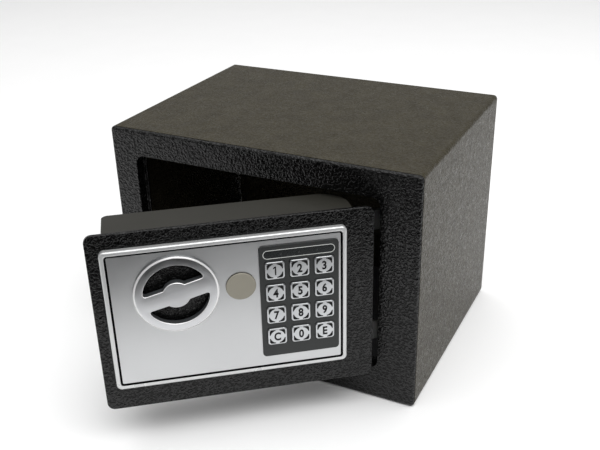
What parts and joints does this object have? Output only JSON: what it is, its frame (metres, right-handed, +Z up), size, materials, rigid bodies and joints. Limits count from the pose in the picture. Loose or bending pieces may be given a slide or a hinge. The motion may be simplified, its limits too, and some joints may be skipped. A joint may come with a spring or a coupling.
{
  "type": "electronic safe",
  "caption": "Small rectangular steel safe with a partly open hinged door, keypad, turning knob and thrown bolts.",
  "frame": {"origin": "middle of the case's footprint, on the surface that the case stands on", "axes": "+Z up, -Y out of the case's face, +X towards the hinge side as seen from the front; the door rests 37.6 degrees open"},
  "size_m": [0.23, 0.2841, 0.17],
  "materials": {
    "case_powder_coat": "black powder coat with a coarse wrinkle",
    "door_powder_coat": "black powder coat with a fine wrinkle",
    "pan_paint": "smooth dark grey paint",
    "felt": "needled felt",
    "zinc_steel": "zinc plated",
    "bolt_steel": "bright nickel plated",
    "satin_silver": "satin silver",
    "bright_trim": "bright silver",
    "overlay_grey": "satin dark grey",
    "smoked_window": "smoked, translucent",
    "key_silver": "satin silver with dark printing",
    "circuit_board": "green solder mask",
    "black_plastic": "moulded black",
    "led_lens": "clear tinted",
    "copper_coil": "enamelled copper wire",
    "battery_sleeve": "plain printed sleeve",
    "lock_brass": "machined brass",
    "cap_beige": "warm grey",
    "red_plastic": "moulded red",
    "lead_red": "insulated lead"
  },
  "bodies": {
    "case": {"case_wrap": "case_powder_coat", "back_panel": "case_powder_coat", "front_frame": "case_powder_coat", "floor_mat": "felt", "hinge_bracket_upper": "zinc_steel", "hinge_bracket_lower": "zinc_steel", "hinge_pins": "zinc_steel"},
    "door": {"door_plate": "door_powder_coat", "door_pan": "pan_paint", "hinge_arm_upper": "zinc_steel", "hinge_arm_lower": "zinc_steel", "pan_cover": "pan_paint", "cover_screws": "zinc_steel", "bezel": "bright_trim", "panel_plate": "satin_silver", "panel_screws": "zinc_steel", "keypad_overlay": "overlay_grey", "led_window": "smoked_window", "keypad_board": "circuit_board", "tact_switches": "black_plastic", "status_leds": "led_lens", "control_board": "circuit_board", "board_standoffs": "zinc_steel", "solenoid_frame": "zinc_steel", "solenoid_coil": "copper_coil", "plunger_spring": "zinc_steel", "battery_box": "black_plastic", "batteries": "battery_sleeve", "battery_contacts": "zinc_steel", "lock_housing": "zinc_steel", "lock_nut": "zinc_steel", "guide_studs": "zinc_steel", "knob_bush": "lock_brass", "wiring": "lead_red"},
    "turning_knob": {"knob": "satin_silver", "knob_shaft": "zinc_steel", "knob_cam": "zinc_steel", "shaft_clip": "black_plastic"},
    "bolt_works": {"bolt_carriage": "zinc_steel", "live_bolts": "bolt_steel", "bolt_screws": "zinc_steel"},
    "solenoid_plunger": {"plunger": "zinc_steel"},
    "lock_core": {"lock_plug": "lock_brass", "lock_cam": "zinc_steel"},
    "lock_cover_cap": {"lock_cap": "cap_beige"},
    "code_reset": {"reset_button": "red_plastic"},
    "battery_hatch": {"battery_cover": "black_plastic"},
    "keycap_1": {"key_1": "key_silver"},
    "keycap_2": {"key_2": "key_silver"},
    "keycap_3": {"key_3": "key_silver"},
    "keycap_4": {"key_4": "key_silver"},
    "keycap_5": {"key_5": "key_silver"},
    "keycap_6": {"key_6": "key_silver"},
    "keycap_7": {"key_7": "key_silver"},
    "keycap_8": {"key_8": "key_silver"},
    "keycap_9": {"key_9": "key_silver"},
    "keycap_c": {"key_c": "key_silver"},
    "keycap_0": {"key_0": "key_silver"},
    "keycap_e": {"key_e": "key_silver"}
  },
  "joints": [
    {"name": "door_hinge", "type": "hinge", "parent": "case", "child": "door", "pos_m": [0.0965, -0.0765, 0.08775], "axis": [0, 0, 1], "range_deg": [-37.6, 62.4]},
    {"name": "knob_turn", "type": "hinge", "parent": "door", "child": "turning_knob", "pos_m": [-0.00652, -0.173, 0.1074], "axis": [0.6101, -0.7923, 0], "range_deg": [0, 70]},
    {"name": "bolt_throw", "type": "slide", "parent": "door", "child": "bolt_works", "axis": [-0.7923, -0.6101, 0], "range_m": [0, 0.01147]},
    {"name": "plunger_pull", "type": "slide", "parent": "door", "child": "solenoid_plunger", "axis": [0, 0, -1], "range_m": [0, 0.0025], "stiffness_N_per_m": 120, "springref_m": -0.003, "deforming": ["plunger_spring"]},
    {"name": "lock_turn", "type": "hinge", "parent": "door", "child": "lock_core", "pos_m": [0.02096, -0.14477, 0.1074], "axis": [0.6101, -0.7923, 0], "range_deg": [0, 90]},
    {"name": "cap_pull", "type": "slide", "parent": "door", "child": "lock_cover_cap", "axis": [0.6101, -0.7923, 0], "range_m": [0, 0.012]},
    {"name": "reset_press", "type": "slide", "parent": "door", "child": "code_reset", "axis": [0.6101, -0.7923, 0], "range_m": [0, 0.0012], "stiffness_N_per_m": 400, "springref_m": -0.0005},
    {"name": "battery_hatch_pull", "type": "slide", "parent": "door", "child": "battery_hatch", "axis": [-0.6101, 0.7923, 0], "range_m": [0, 0.02]},
    {"name": "press_1", "type": "slide", "parent": "door", "child": "keycap_1", "axis": [-0.6101, 0.7923, 0], "range_m": [0, 0.0005], "stiffness_N_per_m": 600, "springref_m": -0.0005},
    {"name": "press_2", "type": "slide", "parent": "door", "child": "keycap_2", "axis": [-0.6101, 0.7923, 0], "range_m": [0, 0.0005], "stiffness_N_per_m": 600, "springref_m": -0.0005},
    {"name": "press_3", "type": "slide", "parent": "door", "child": "keycap_3", "axis": [-0.6101, 0.7923, 0], "range_m": [0, 0.0005], "stiffness_N_per_m": 600, "springref_m": -0.0005},
    {"name": "press_4", "type": "slide", "parent": "door", "child": "keycap_4", "axis": [-0.6101, 0.7923, 0], "range_m": [0, 0.0005], "stiffness_N_per_m": 600, "springref_m": -0.0005},
    {"name": "press_5", "type": "slide", "parent": "door", "child": "keycap_5", "axis": [-0.6101, 0.7923, 0], "range_m": [0, 0.0005], "stiffness_N_per_m": 600, "springref_m": -0.0005},
    {"name": "press_6", "type": "slide", "parent": "door", "child": "keycap_6", "axis": [-0.6101, 0.7923, 0], "range_m": [0, 0.0005], "stiffness_N_per_m": 600, "springref_m": -0.0005},
    {"name": "press_7", "type": "slide", "parent": "door", "child": "keycap_7", "axis": [-0.6101, 0.7923, 0], "range_m": [0, 0.0005], "stiffness_N_per_m": 600, "springref_m": -0.0005},
    {"name": "press_8", "type": "slide", "parent": "door", "child": "keycap_8", "axis": [-0.6101, 0.7923, 0], "range_m": [0, 0.0005], "stiffness_N_per_m": 600, "springref_m": -0.0005},
    {"name": "press_9", "type": "slide", "parent": "door", "child": "keycap_9", "axis": [-0.6101, 0.7923, 0], "range_m": [0, 0.0005], "stiffness_N_per_m": 600, "springref_m": -0.0005},
    {"name": "press_c", "type": "slide", "parent": "door", "child": "keycap_c", "axis": [-0.6101, 0.7923, 0], "range_m": [0, 0.0005], "stiffness_N_per_m": 600, "springref_m": -0.0005},
    {"name": "press_0", "type": "slide", "parent": "door", "child": "keycap_0", "axis": [-0.6101, 0.7923, 0], "range_m": [0, 0.0005], "stiffness_N_per_m": 600, "springref_m": -0.0005},
    {"name": "press_e", "type": "slide", "parent": "door", "child": "keycap_e", "axis": [-0.6101, 0.7923, 0], "range_m": [0, 0.0005], "stiffness_N_per_m": 600, "springref_m": -0.0005}
  ],
  "couplings": [
    {"joint": "knob_turn", "follows": "bolt_throw", "rad_per_m": 106.5}
  ]
}
